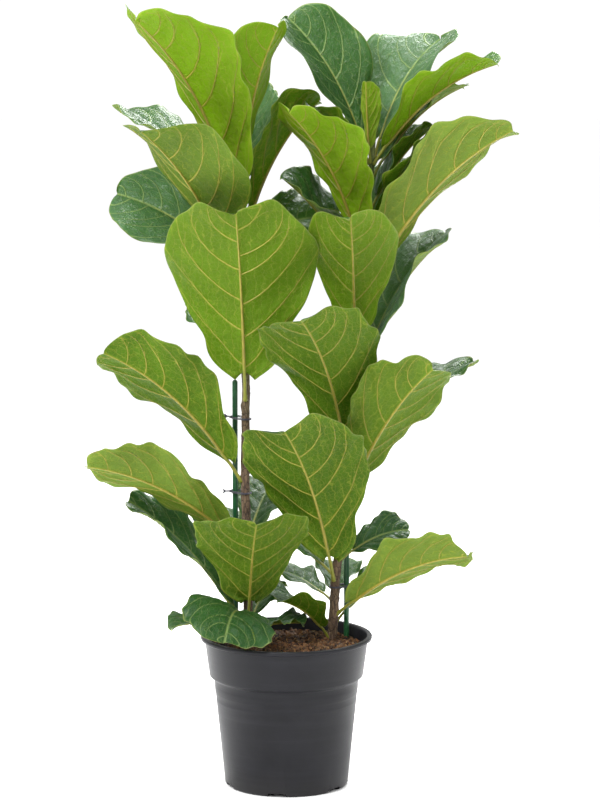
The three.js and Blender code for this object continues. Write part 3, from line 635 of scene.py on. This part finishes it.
class Leaf:
    """The surface of one leaf, in millimetres, its stalk starting at the stem's surface."""

    def __init__(self, number, row):
        (self.name, self.stem, self.height, self.azimuth, self.pitch, self.droop, self.roll,
         self.length, self.width, self.fold, self.curl, self.tip, self.turn, self.wave) = row
        self.number = number
        x, y, z, radius = stem_at(self.stem, self.height)
        self.petiole = 0.1 * self.length + 12
        self.total = self.petiole + self.length
        self.stalk = 1.6 + self.length / 250
        self.random = np.random.default_rng(100 + number)
        start = radius + self.stalk * math.sin(math.radians(self.pitch)) + 0.7
        azimuth = math.radians(self.azimuth)
        here = np.array([x + start * math.cos(azimuth), y + start * math.sin(azimuth), self.height])
        middle = (np.arange(PATH_STEPS) + 0.5) / PATH_STEPS
        forward = self.frame(middle)[1]
        steps = np.cumsum(forward * self.total / PATH_STEPS, axis=0)
        self.path = np.vstack([here, here + steps])
        self.calm = CALM.get(self.name, 1.0)
        self.quilt = (2.0 + self.width / 80) * (0.3 + 0.7 * self.calm)
        # 0 for an old dark leaf, 1 for a young bright one; it also rises with height, as painted
        # backlight on the higher leaves
        share = (self.height - 230) / 850
        self.tone = YOUNG_AND_BACKLIT.get(self.name, 0.10 + 0.25 * share + self.random.uniform(-0.08, 0.08))
        jitter = self.random.uniform(-0.03, 0.03, (2, len(SIDE_VEINS)))
        jitter[:, 0] *= 0.3
        # the veins of the two halves alternate
        self.starts = np.array(SIDE_VEINS) + jitter
        self.starts[1, 1:] += 0.055

    def frame(self, u):
        """Side, forward and upper-face directions at u, from 0 at the joint to 1 at the tip."""
        inside = np.clip(u, 0.0, 1.0)
        pitch = np.radians(
            self.pitch - self.droop * inside ** 1.3 - self.tip * smooth_step((inside - 0.7) / 0.3))
        turn = np.radians(self.azimuth + self.turn * inside)
        roll = (math.radians(self.roll) * smooth_step(inside / 0.25))[..., None]
        forward = np.stack([np.cos(pitch) * np.cos(turn), np.cos(pitch) * np.sin(turn),
                            np.sin(pitch)], -1)
        face = np.stack([-np.sin(pitch) * np.cos(turn), -np.sin(pitch) * np.sin(turn),
                         np.cos(pitch)], -1)
        across = np.cross(forward, face)
        side = across * np.cos(roll) + face * np.sin(roll)
        face = face * np.cos(roll) - across * np.sin(roll)
        return side, forward, face

    def along(self, u):
        """Points of the midrib at u, carried straight on past either end."""
        inside = np.clip(u, 0.0, 1.0)
        steps = np.linspace(0.0, 1.0, PATH_STEPS + 1)
        point = np.stack([np.interp(inside, steps, self.path[:, k]) for k in range(3)], -1)
        side, forward, face = self.frame(u)
        point = point + forward * ((u - inside) * self.total)[..., None]
        return point, side, forward, face

    def half_width(self, v):
        body = np.sin(np.pi * np.clip(v, 0.0, 1.0) ** 1.1) ** 0.6
        lobe = 0.25 * np.exp(-(((v - 0.05) / 0.06) ** 2))
        base = 1 - SLIM.get(self.name, 0.0) * (1 - smooth_step(v / 0.30))
        return (body + lobe * (1 - body)) * base

    def sweep(self, v):
        ahead = 0.13 * np.sqrt(np.clip(np.sin(np.pi * np.clip(v, 0.0, 1.0)), 0.0, None))
        ahead = ahead + NOTCH.get(self.name, 0.01) * np.exp(-(((v - 0.92) / 0.05) ** 2))
        return ahead - 0.05 * np.exp(-((v / 0.06) ** 2))

    def rise(self, v, which):
        return np.interp(v, self.starts[which], VEIN_RISE)

    def rank(self, v, t):
        """Which side vein a point is at: 0, 1, 2 ... on the veins, and between them."""
        result = np.zeros_like(v)
        for which, chosen in enumerate((t < 0, t >= 0)):
            reach = np.abs(t[chosen])
            start = v[chosen].copy()
            for _ in range(6):
                start = v[chosen] - self.rise(start, which) * rise_shape(reach)
            veins = self.starts[which]
            gap_low = veins[1] - veins[0]
            gap_high = veins[-1] - veins[-2]
            inner = np.interp(start, veins, np.arange(len(veins)))
            inner = np.where(start < veins[0], (start - veins[0]) / gap_low, inner)
            inner = np.where(start > veins[-1], len(veins) - 1 + (start - veins[-1]) / gap_high, inner)
            result[chosen] = inner
        return result

    def rung(self, v, t):
        """Place along a side vein, counted in the cross veins that leave it."""
        return t * self.half_width(v) * self.width / 2 / RUNG_MM

    def point(self, v, t):
        """The blade's middle surface at v along and t across, with its relief, and the face
        direction there."""
        v, t = np.broadcast_arrays(np.asarray(v, float), np.asarray(t, float))
        reach = np.abs(t)
        along = v + self.sweep(v) * reach ** 1.5
        point, side, _, face = self.along((self.petiole + along * self.length) / self.total)
        # a slightly scalloped margin, more so on the larger leaves
        uneven = 0.030 * np.sin(2 * np.pi * 3.4 * v + 3.1 * self.number + np.sign(t))
        uneven = uneven + 0.017 * np.sin(2 * np.pi * 8.3 * v + 1.3 * self.number + 2 * np.sign(t))
        share = reach * self.half_width(v) * (1 + self.calm * uneven * reach ** 2)
        slope = np.radians(self.fold + self.curl * share)
        out = share * self.width / 2
        phase = 2.4 * self.number + np.where(t > 0, 1.7, 0.0)
        wave = self.wave * t * t * np.sin(2 * np.pi * 2.2 * v + phase) * np.minimum(1, 4 * v)
        ripple = 0.35 * self.calm * self.wave * reach ** 3
        ripple = ripple * np.sin(2 * np.pi * 6.1 * v + 1.9 * phase)
        ripple = ripple * np.minimum(1, 6 * v) * np.minimum(1, 6 * (1 - v))
        rank = self.rank(v, t)
        between = np.abs(np.sin(np.pi * rank)) ** 0.8
        cross = np.abs(np.sin(np.pi * (self.rung(v, t) + 0.37 * np.floor(rank)))) ** 0.8
        puff = self.quilt * between * smooth_step(out / 14) * (1 - reach ** 6)
        puff = puff * (0.62 + 0.38 * cross) * np.clip(6 * (1 - v), 0, 1)
        swell = 0.022 * self.width * reach * np.sin(2 * np.pi * (1.15 * v + 0.2 * t) + 2.1 * phase)
        swell = swell * self.calm * np.minimum(1, 5 * v)
        groove = -1.3 * np.exp(-((out / 3.5) ** 2))
        lift = out * np.sin(slope) + wave + ripple + puff + groove + swell
        point = point + side * (np.sign(t) * out * np.cos(slope))[..., None]
        point = point + face * lift[..., None]
        return point, face

    def blade(self, builder):
        """A closed two-sided sheet."""
        rows, half = int(38 + self.length / 9), int(9 + self.width / 16)
        x = np.linspace(0.0, 1.0, rows)
        v = 0.35 * x + 0.65 * (0.5 - 0.5 * np.cos(np.pi * x))
        v = np.minimum(v, 0.9995)
        s = np.linspace(-1.0, 1.0, 2 * half + 1)
        t = np.sign(s) * np.abs(s) ** 1.12
        grid_v, grid_t = np.meshgrid(v, t, indexing="ij")
        middle, face = self.point(grid_v, grid_t)
        reach = np.abs(grid_t)
        half_mm = self.half_width(grid_v) * self.width / 2
        out = reach * half_mm
        rim = (1 - reach) * half_mm
        thick = 0.5 * BLADE_MM * (0.35 + 0.65 * smooth_step(rim / 3.0))
        rank = self.rank(grid_v, grid_t)
        rung = self.rung(grid_v, grid_t)
        # the blade laid flat, in metres, each leaf in a place of its own
        flat_x = grid_t * half_mm * MM + 0.2
        flat_y = (grid_v + self.sweep(grid_v) * reach ** 1.5) * self.length * MM
        flat_y = flat_y + 0.05 + 0.37 * self.number
        columns = 2 * half + 1
        upper = (middle + face * thick[..., None]).reshape(-1, 3)
        lower = (middle - face * thick[..., None]).reshape(-1, 3)
        values = {"side": np.repeat([1.0, 0.0], rows * columns)}
        for name, value in (("rank", rank), ("rung", rung), ("mid", out), ("rim", rim),
                            ("flat_x", flat_x), ("flat_y", flat_y)):
            values[name] = np.tile(value.ravel(), 2)
        builder.add(np.concatenate([upper, lower]) * MM, sheet_faces(rows, columns, flip=True),
                    tone=self.tone, pale=PALE.get(self.name, 0.0), **values)

    def stalk_and_midrib(self, builder):
        """One tapered tube from inside the stem to the tip, sunk under the blade."""
        joint = -(self.stalk + 5.0) / self.total
        stalk_end = self.petiole / self.total
        u = np.concatenate([np.linspace(joint, stalk_end, 16)[:-1],
                            np.linspace(stalk_end, 0.985, 44)])
        point, _, _, face = self.along(u)
        inside = np.clip((u - stalk_end) / (1 - stalk_end), 0, 1)
        swell = 1 + 0.45 * np.exp(-(((u - joint) * self.total / 9) ** 2))
        radius = self.stalk * swell * np.where(u < stalk_end, 1.0, (1 - inside) ** 0.75 * 0.9 + 0.12)
        sink = smooth_step((u - 0.6 * stalk_end) / (0.8 * stalk_end))
        middle, _ = self.point(np.clip(inside, 0, 0.999), np.zeros_like(u))
        bed = np.where((u > stalk_end)[:, None], middle, point - face * 1.3)
        centre = point * (1 - sink)[:, None] + bed * sink[:, None]
        centre = centre - face * (sink * radius * 0.62)[:, None]
        # on the midrib, pale stands for its browner skin
        builder.tube(centre * MM, radius * MM, 10, slot=1, tone=self.tone,
                     side=0.5 * (1 - smooth_step(inside * 8)),
                     pale=smooth_step(inside * 9) * (1 - 0.8 * inside))

    def vein(self, builder, v, t, radius):
        """A low rounded ridge under the blade along the points (v, t)."""
        point, face = self.point(v, t)
        tangent = np.gradient(point, axis=0)
        across = np.cross(tangent, face)
        across /= np.linalg.norm(across, axis=1)[:, None] + 1e-9
        base = point - face * (0.5 * BLADE_MM - 0.12)
        profile = [(-1.25, -0.25), (-0.75, 0.62), (0.0, 1.0), (0.75, 0.62), (1.25, -0.25)]
        rings = [base + across * (a * radius)[:, None] - face * (b * radius)[:, None]
                 for a, b in profile]
        points = np.stack(rings, 1).reshape(-1, 3)
        builder.add(points * MM, grid_faces(len(v), len(profile)), 1, tone=self.tone)

    def side_veins(self, builder):
        for which, sign in enumerate((-1.0, 1.0)):
            for k, start in enumerate(self.starts[which]):
                end = self.random.uniform(0.88, 0.95)
                t = np.linspace(0.015, end, 18)
                v = start + self.rise(start, which) * rise_shape(t)
                v = np.minimum(v, 0.985)
                weight = 0.62 if k < 5 else 0.45
                radius = weight * self.length / 280 * (0.22 + 0.9 * (1 - t / end) ** 0.8)
                self.vein(builder, v, sign * t, radius)
                # forks: one bends out to the margin, one arches up to the next vein
                for fork, lift, finish in ((0.45, -0.12, 0.92), (0.68, 0.10, 0.80)):
                    first = fork + self.random.uniform(-0.08, 0.08)
                    w = np.linspace(0.0, 1.0, 11)
                    bt = first + (finish - first) * np.sin(w * math.pi / 2)
                    bv = start + self.rise(start, which) * rise_shape(bt)
                    bv = np.clip(bv + lift * w * (0.5 + 0.5 * w), 0.004, 0.98)
                    thin = self.length / 280 * 0.30 * (1 - 0.7 * w)
                    self.vein(builder, bv, sign * bt, thin)

    def build(self):
        names = ("side", "tone", "pale", "rank", "rung", "mid", "rim", "flat_x", "flat_y")
        builder = Builder(names)
        self.blade(builder)
        self.stalk_and_midrib(builder)
        self.side_veins(builder)
        piece = builder.build(f"fig_leaf_{self.name}", [BLADE, RIB])
        self.unwrap(piece)
        return piece

    def unwrap(self, piece):
        """The blade laid flat, in metres, as a UV map."""
        mesh = piece.data
        count = len(mesh.vertices)
        flat = np.zeros((count, 2), np.float32)
        for k, name in enumerate(("flat_x", "flat_y")):
            column = np.zeros(count, np.float32)
            mesh.attributes[name].data.foreach_get("value", column)
            flat[:, k] = column
        corners = np.zeros(len(mesh.loops), np.int32)
        mesh.loops.foreach_get("vertex_index", corners)
        layer = mesh.uv_layers.new(name="Blade")
        layer.data.foreach_set("uv", flat[corners].ravel())
        for name in ("flat_x", "flat_y"):
            mesh.attributes.remove(mesh.attributes[name])


for number, row in enumerate(LEAVES):
    leaf = Leaf(number, row)
    place_piece(leaf.build(), "leaf_blade", f"leaf_{leaf.name}")


# ---- pot -------------------------------------------------------------------------
POT_SIDES = 160
POT_OUTLINE = [
    (0, 0), (60, 0), (94, 0), (96.4, 0.6), (97.6, 2.0), (99, 4), (104.2, 56), (109.3, 106),
    (112.4, 136.6), (112.8, 137.8), (112.9, 139.4), (112.8, 141.0), (113.6, 149), (114.1, 150.2),
    (114.4, 151.6), (115.2, 160.2), (115.2, 161.8), (115.1, 163.0), (115.9, 171),
    (116.3, 172.4), (117.4, 174.2), (121.0, 176.4),
    (123.0, 178.2), (123.6, 180.5), (130.6, 233.0), (131.4, 235.2), (133.0, 236.2), (135.8, 236.6),
    (137.1, 237.6), (137.5, 239.2), (137.3, 241.2), (136.4, 242.6), (135.0, 243), (131.5, 243),
    (129.9, 242.6), (129.1, 241.4), (128.6, 238), (121.4, 180.5), (120.6, 178.6), (115.0, 175.4),
    (114.0, 172.0), (96.8, 6.0), (95.6, 3.8), (93, 3), (60, 3), (0, 3),
]
DRAIN_COUNT = 6
DRAIN_WIDTH = 30
DRAIN_FIRST = 261           # azimuth of the first drain slot
DRAIN_REACH = (77, 118)     # distances from the pot's axis that a slot runs between
# A slot's outline: share of its width, height.
DRAIN_OUTLINE = [(-0.5, -6), (0.5, -6), (0.5, 3.2), (0.4, 6), (-0.4, 6), (-0.5, 3.2)]


def make_pot():
    angles = np.arange(POT_SIDES) * 2 * math.pi / POT_SIDES
    points = []
    for radius, height in POT_OUTLINE[1:-1]:
        for a in angles:
            points.append((radius * MM * math.cos(a), radius * MM * math.sin(a), height * MM))
    points += [(0, 0, height * MM) for _, height in (POT_OUTLINE[0], POT_OUTLINE[-1])]
    faces = capped_faces(len(POT_OUTLINE) - 2, POT_SIDES)
    pot = new_object("fig_pot", points, faces, [POT])
    cutter = Builder()
    for k in range(DRAIN_COUNT):
        turn = math.radians(DRAIN_FIRST + 360 * k / DRAIN_COUNT)
        out = np.array([math.cos(turn), math.sin(turn), 0.0])
        along = np.array([-math.sin(turn), math.cos(turn), 0.0])
        corners = []
        for reach in DRAIN_REACH:
            for share, height in DRAIN_OUTLINE:
                p = out * reach + along * share * DRAIN_WIDTH
                corners.append((p + np.array([0, 0, height])) * MM)
        sides = len(DRAIN_OUTLINE)
        box_faces = [tuple(range(sides))[::-1], tuple(range(sides, 2 * sides))]
        box_faces += grid_faces(2, sides, wrap=True)
        cutter.add(corners, box_faces)
    tool = cutter.build("drain_cutter", [POT], smooth=False)
    cut = pot.modifiers.new("drain", "BOOLEAN")
    cut.object = tool
    cut.operation = "DIFFERENCE"
    cut.solver = "EXACT"
    bpy.context.view_layer.update()
    graph = bpy.context.evaluated_depsgraph_get()
    mesh = bpy.data.meshes.new_from_object(pot.evaluated_get(graph))
    pot.modifiers.clear()
    pot.data = mesh
    mesh.shade_smooth()
    mesh.set_sharp_from_angle(angle=math.radians(38))
    bpy.data.objects.remove(tool)
    return pot


place_piece(make_pot(), "pot_plastic", "pot")


# ---- soil -------------------------------------------------------------------------
SOIL_RADIUS = 125.5
SOIL_LEVEL = 222
CRUMBS = 2600
FIBRES = 420


def soil_height(x, y):
    """Gently heaped, lumpy surface, in millimetres."""
    r = np.hypot(x, y)
    heap = 3.2 * np.clip(1 - (r / SOIL_RADIUS) ** 2, 0, 1)
    lumps = 1.5 * np.sin(x * 0.11 + 0.7) * np.sin(y * 0.13 + 1.9)
    lumps = lumps + 0.9 * np.sin(x * 0.31 + y * 0.17) + 0.7 * np.sin(x * 0.23 - y * 0.41 + 2.1)
    return SOIL_LEVEL + heap + lumps * np.clip((SOIL_RADIUS - r) / 20, 0.2, 1)


def make_soil():
    builder = Builder(("tone",))
    rings, sides = 60, 150
    radius = np.linspace(0.012, 1, rings) * SOIL_RADIUS
    angles = np.arange(sides) * 2 * math.pi / sides
    x = radius[:, None] * np.cos(angles)
    y = radius[:, None] * np.sin(angles)
    z = soil_height(x, y) + rng.normal(0, 0.55, x.shape)
    top = np.stack([x, y, z], -1).reshape(-1, 3)
    skirt = np.stack([x[-1], y[-1], np.full(sides, SOIL_LEVEL - 25.0)], -1)
    points = np.vstack([top, skirt * [0.975, 0.975, 1], [[0, 0, SOIL_LEVEL + 3]],
                        [[0, 0, SOIL_LEVEL - 25.0]]])
    faces = grid_faces(rings + 1, sides, wrap=True, flip=True)
    centre = len(points) - 2
    for j in range(sides):
        faces.append((centre, j, (j + 1) % sides))
        faces.append((centre + 1, rings * sides + (j + 1) % sides, rings * sides + j))
    builder.add(points * MM, faces, tone=0.0)

    # crumbs of peat and chips of bark
    block = np.array([(-1, -1, -1), (1, -1, -1), (1, 1, -1), (-1, 1, -1),
                      (-1, -1, 1), (1, -1, 1), (1, 1, 1), (-1, 1, 1),
                      (0, 0, -1.35), (0, 0, 1.35), (1.3, 0, 0), (-1.3, 0, 0), (0, 1.3, 0), (0, -1.3, 0)])
    fans = [(0, 1, 2, 3, 8, True), (4, 5, 6, 7, 9, False), (1, 2, 6, 5, 10, False),
            (0, 3, 7, 4, 11, True), (3, 2, 6, 7, 12, True), (0, 1, 5, 4, 13, False)]
    crumb_faces = []
    for a, b, c, d, centre, flip in fans:
        for p, q in ((a, b), (b, c), (c, d), (d, a)):
            crumb_faces.append((q, p, centre) if flip else (p, q, centre))
    for _ in range(CRUMBS):
        r = SOIL_RADIUS * 0.975 * math.sqrt(rng.uniform())
        a = rng.uniform(0, 2 * math.pi)
        size = rng.uniform(0.7, 1.5) if rng.uniform() < 0.7 else rng.uniform(1.5, 3.4)
        stretch = rng.uniform(0.5, 1.4, 3) * size
        axis = rng.normal(size=3)
        axis /= np.linalg.norm(axis)
        spin = rng.uniform(0, 2 * math.pi)
        cross = np.array([[0, -axis[2], axis[1]], [axis[2], 0, -axis[0]], [-axis[1], axis[0], 0]])
        turn = np.eye(3) + math.sin(spin) * cross + (1 - math.cos(spin)) * cross @ cross
        shape = (block * stretch * rng.uniform(0.75, 1.25, (len(block), 1))) @ turn.T
        cx, cy = r * math.cos(a), r * math.sin(a)
        centre_point = np.array([cx, cy, float(soil_height(cx, cy)) + 0.35 * size])
        builder.add((shape + centre_point) * MM, crumb_faces, tone=rng.uniform() ** 3)
    # coir fibres
    for _ in range(FIBRES):
        r = SOIL_RADIUS * 0.95 * math.sqrt(rng.uniform())
        a = rng.uniform(0, 2 * math.pi)
        heading = rng.uniform(0, 2 * math.pi)
        length = rng.uniform(8, 30)
        bend = rng.uniform(-1.2, 1.2)
        path = []
        px, py = r * math.cos(a), r * math.sin(a)
        for k in range(7):
            limit = SOIL_RADIUS * 0.97
            reach = math.hypot(px, py)
            if reach > limit:
                px, py = px * limit / reach, py * limit / reach
            arch = 2.2 * math.sin(math.pi * k / 6)
            path.append((px, py, float(soil_height(px, py)) + 0.8 + arch))
            px += length / 6 * math.cos(heading + bend * k / 6)
            py += length / 6 * math.sin(heading + bend * k / 6)
        builder.tube(np.array(path) * MM, rng.uniform(0.18, 0.4) * MM, 4, tone=rng.uniform(0.3, 1))
    piece = builder.build("fig_soil", [SOIL])
    piece.data.set_sharp_from_angle(angle=math.radians(50))
    return piece


place_piece(make_soil(), "potting_soil", "soil")


# ---- stems ------------------------------------------------------------------------
# Height and azimuth of the scars that fallen leaves have left.
OLD_SCARS = [
    (300, 120), (338, 300), (372, 20), (425, 250), (445, 90), (520, 330), (560, 40), (610, 190),
]


def make_stem(side):
    """Bark with a ring scar at each leaf joint and a few old leaf scars lower down."""
    builder = Builder(("scar",))
    points = np.array(STEMS[side], float)
    sides, rows = 28, 330
    z = np.linspace(200, points[-1][2], rows)
    x, y, radius = (np.interp(z, points[:, 2], points[:, k]) for k in (0, 1, 3))
    angles = np.arange(sides) * 2 * math.pi / sides
    joints = [(row[2], row[3]) for row in LEAVES if row[1] == side]
    bump = np.zeros((rows, sides))
    scar = np.zeros((rows, sides))
    for height, azimuth in joints + OLD_SCARS:
        gap = np.abs((np.degrees(angles) - azimuth + 180) % 360 - 180)
        ring = np.exp(-(((z - height - 3) / 2.2) ** 2))[:, None]
        bump += ring * 0.5
        pad = np.exp(-(((z - height) / 6.0) ** 2))[:, None] * np.exp(-((gap / 42) ** 2))[None, :]
        bump += 1.5 * pad
    for height, azimuth in OLD_SCARS:
        gap = np.abs((np.degrees(angles) - azimuth + 180) % 360 - 180)
        mark = np.exp(-(((z - height) / 3.0) ** 2))[:, None] * np.exp(-((gap / 26) ** 2))[None, :]
        scar += mark
    grain = np.zeros((rows, sides))
    for wave, turns, size in ((0.09, 3, 0.28), (0.21, 5, 0.20), (0.47, 8, 0.14), (0.83, 11, 0.09)):
        grain += size * np.sin(wave * z[:, None] + turns * angles[None, :] + 7 * wave)
    grain += rng.normal(0, 0.07, grain.shape)
    total = radius[:, None] * 0.97 + bump * np.clip(radius[:, None] / 8, 0.5, 1) + grain
    px = x[:, None] + total * np.cos(angles)
    py = y[:, None] + total * np.sin(angles)
    pz = np.broadcast_to(z[:, None], px.shape)
    surface = np.stack([px, py, pz], -1).reshape(-1, 3)
    ends = np.array([[x[0], y[0], z[0]], [x[-1], y[-1], z[-1] + 2]])
    scar_values = np.concatenate([np.clip(scar, 0, 1).ravel(), [0, 0]])
    builder.add(np.vstack([surface, ends]) * MM, capped_faces(rows, sides), scar=scar_values)
    return builder.build(f"fig_stem_{side}", [BARK])


# ---- buds and sheaths ----------------------------------------------------------------
def sheath_points(length, radius, bend, twist):
    """A pointed rolled sheath, overlapping itself along one side."""
    rows, sides = 26, 20
    points = []
    for s in np.linspace(0, 1, rows):
        girth = radius * (0.45 + 1.5 * s) * (1 - s) ** 0.8 / 0.86 + 0.25
        for k in range(sides):
            a = 2 * math.pi * k / sides
            lap = 1 + 0.16 * k / sides
            rib = 1 + 0.025 * math.cos(5 * a)
            turn = a + twist * s
            points.append((bend * s * s + girth * lap * rib * math.cos(turn),
                           girth * lap * rib * math.sin(turn), length * s))
    points += [(0, 0, 0), (bend, 0, length)]
    return np.array(points), capped_faces(rows, sides)


def make_bud(side):
    length, radius, bend = BUDS[side]
    x, y, z, _ = STEMS[side][-1]
    builder = Builder(("tone",))
    points, faces = sheath_points(length * 0.985, radius * 0.93, bend, 1.4)
    share = np.clip(points[:, 2] / length, 0, 1)
    builder.add((points + [x, y, z]) * MM, faces, tone=0.15 + 0.55 * share ** 2)
    return builder.build(f"fig_bud_{side}", [SHEATH])


SCALE_THICK = 0.5
SCALE_TURN = 150        # azimuth of a scale from its leaf's


def make_scales(side):
    """Dry brown sheaths left standing against the stem above some joints."""
    builder = Builder(("tone",))
    joints = [row for row in LEAVES if row[1] == side]
    chosen = [row for row in joints if row[2] > 380]
    for row in chosen[::2]:
        height = row[2] + 6
        # a stalk or a tie in its place leaves no room for a sheath
        crowded = any(abs((other[3] - row[3] - SCALE_TURN + 180) % 360 - 180) < 75
                      and -12 < other[2] - height < 42 for other in joints)
        crowded = crowded or any(-5 < tie[0] - height < 40 for tie in TIES[side])
        if crowded:
            continue
        x, y, _, radius = stem_at(side, height)
        azimuth = math.radians(row[3] + SCALE_TURN)
        out = np.array([math.cos(azimuth), math.sin(azimuth), 0])
        along = np.array([-math.sin(azimuth), math.cos(azimuth), 0])
        rows, columns = 14, 7
        length = rng.uniform(22, 34)
        grid = []
        for s in np.linspace(0, 1, rows):
            half = 4.2 * math.sin(math.pi * min(1, 0.28 + 0.72 * s)) ** 0.8 + 0.15
            for c in np.linspace(-1, 1, columns):
                lean = radius + 0.9 + 4.5 * s * s + 0.8 * math.sin(7 * s + 3 * c)
                bow = -2.6 * c * c * (1 - 0.4 * s)
                p = np.array([x, y, height + length * s])
                grid.append(p + out * (lean + bow) + along * c * half)
        front = np.array(grid)
        both = np.vstack([front, front - out * SCALE_THICK])
        builder.add(both * MM, sheet_faces(rows, columns), tone=rng.uniform(0.8, 1.0))
    return builder.build(f"fig_sheaths_{side}", [SHEATH])


# ---- canes and ties ---------------------------------------------------------------------
def make_cane(side):
    """A plastic-coated cane with small raised rings and a domed top."""
    low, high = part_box(f"cane_{side}")
    x, y = (low.x + high.x) / 2, (low.y + high.y) / 2
    radius = (high.x - low.x) / 2
    heights, radii = [0.200], [radius]
    level = 0.205
    while level < high.z - 0.012:
        for step, swell in ((0, 0.97), (0.0016, 1.0), (0.0032, 0.97)):
            heights.append(level + step)
            radii.append(radius * swell)
        level += 0.0125
    for k in range(7):
        a = math.pi / 2 * k / 6
        heights.append(high.z - radius + radius * math.sin(a))
        radii.append(max(radius * 0.97 * math.cos(a), 0.0002))
    path = np.array([(x, y, z) for z in heights])
    builder = Builder()
    builder.tube(path, radii, 20)
    return builder.build(f"fig_cane_{side}", [CANE])


def make_tie(side, k):
    """A wire tie: two turns round stem and cane, with the ends twisted together."""
    low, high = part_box(f"tie_{side}_{k + 1}")
    z, tail = TIES[side][k]
    sx, sy, _, stem_radius = stem_at(side, z)
    box_low, box_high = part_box(f"cane_{side}")
    cx, cy = (box_low.x + box_high.x) / 2 / MM, (box_low.y + box_high.y) / 2 / MM
    room = max(stem_radius, 4.5) + 2.0
    start = math.atan2(cy - sy, cx - sx)
    loop = []
    for centre, first in (((cx, cy), start - math.pi / 2), ((sx, sy), start + math.pi / 2)):
        for step in range(13):
            a = first + math.pi * step / 12
            loop.append((centre[0] + room * math.cos(a), centre[1] + room * math.sin(a)))
    loop.append(loop[0])
    loop = np.array(loop)
    spread = np.concatenate([[0], np.cumsum(np.linalg.norm(np.diff(loop, axis=0), axis=1))])
    even = np.linspace(0, spread[-1], 90)
    px, py = np.interp(even, spread, loop[:, 0]), np.interp(even, spread, loop[:, 1])
    builder = Builder()
    for turn in (0, 1):
        sag = 0.7 * np.sin(even / spread[-1] * 4 * math.pi + 2 * turn)
        level = z - 0.8 + 1.6 * turn + 0.35 * sag
        path = np.stack([px, py, level], -1)
        builder.tube(path * MM, 0.8 * MM, 8)
    a = math.radians(tail)
    out = np.array([math.cos(a), math.sin(a), 0])
    over = np.array([-math.sin(a), math.cos(a), 0])
    root = np.array([cx, cy, z]) + out * (room - 0.5)
    s = np.linspace(0, 1, 40)
    for strand in (0, 1):
        open_out = smooth_step((s - 0.62) / 0.38)
        spin = 2 * math.pi * 2.2 * s + math.pi * strand
        gap = 0.85 + 3.6 * open_out
        sideways = gap * np.cos(spin * (1 - open_out) + math.pi * strand * open_out)
        upwards = gap * np.sin(spin * (1 - open_out) + (math.pi * strand + 0.6) * open_out)
        path = root + out * (11.0 * s)[:, None] + over * sideways[:, None] * 0.6
        path = path + np.array([0, 0, 1]) * upwards[:, None] * 0.8
        builder.tube(path * MM, 0.75 * MM, 8)
    return builder.build(f"fig_tie_{side}_{k + 1}", [TIE])


for side in STEMS:
    place_piece(make_stem(side), "bark", f"stem_{side}")
    place_piece(make_bud(side), "bud_sheath", f"bud_{side}")
    place_piece(make_cane(side), "cane_plastic", f"cane_{side}")
    scales = make_scales(side)
    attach(scales, "root")
    for k in range(len(TIES[side])):
        place_piece(make_tie(side, k), "tie_wire", f"tie_{side}_{k + 1}")


# ---- floor, light and camera -----------------------------------------------------------
def add_light(name, place, target, size, power):
    light = bpy.data.lights.new(name, "AREA")
    light.shape = "RECTANGLE"
    light.size, light.size_y = size
    light.energy = power
    lamp = bpy.data.objects.new(name, light)
    bpy.context.scene.collection.objects.link(lamp)
    lamp.location = place
    toward = np.array(target, float) - np.array(place, float)
    lamp.rotation_euler = direction_angles(toward)


def direction_angles(toward):
    """Turns that point a camera's or a lamp's -Z along a direction."""
    flat = math.hypot(toward[0], toward[1])
    return (math.atan2(flat, -toward[2]), 0.0, math.atan2(toward[1], toward[0]) - math.pi / 2)


FLOOR_HALF = 20.0
floor_points = [(x * FLOOR_HALF, y * FLOOR_HALF, 0) for x, y in ((-1, -1), (1, -1), (1, 1), (-1, 1))]
floor = new_object("studio_floor", floor_points, [(0, 1, 2, 3)], [floor_material()], smooth=False)

add_light("key", (-1.7, -2.0, 2.9), (0, 0, 0.7), (1.1, 1.1), 125)
add_light("back", (0.7, 2.0, 2.7), (0, 0, 0.9), (1.4, 1.0), 120)
add_light("top", (-0.4, 0.1, 3.3), (0, 0, 0.8), (1.0, 1.0), 70)

world = bpy.data.worlds.new("studio")
world.use_nodes = True
background = world.node_tree.nodes["Background"]
background.inputs["Color"].default_value = (1, 1, 1, 1)
background.inputs["Strength"].default_value = 1.07
bpy.context.scene.world = world

CAMERA_PLACE = (0.0218, -5.0, 1.334)
CAMERA_TARGET = (0.0218, 0.0, 0.622)
CAMERA_LENS = 143.3
camera_data = bpy.data.cameras.new("camera")
camera_data.lens = CAMERA_LENS
camera_data.sensor_width = 36
camera_data.clip_end = 100
camera = bpy.data.objects.new("camera", camera_data)
bpy.context.scene.collection.objects.link(camera)
camera.location = CAMERA_PLACE
camera.rotation_euler = direction_angles(np.array(CAMERA_TARGET) - np.array(CAMERA_PLACE))
bpy.context.scene.camera = camera
bpy.context.scene.view_settings.view_transform = "Standard"
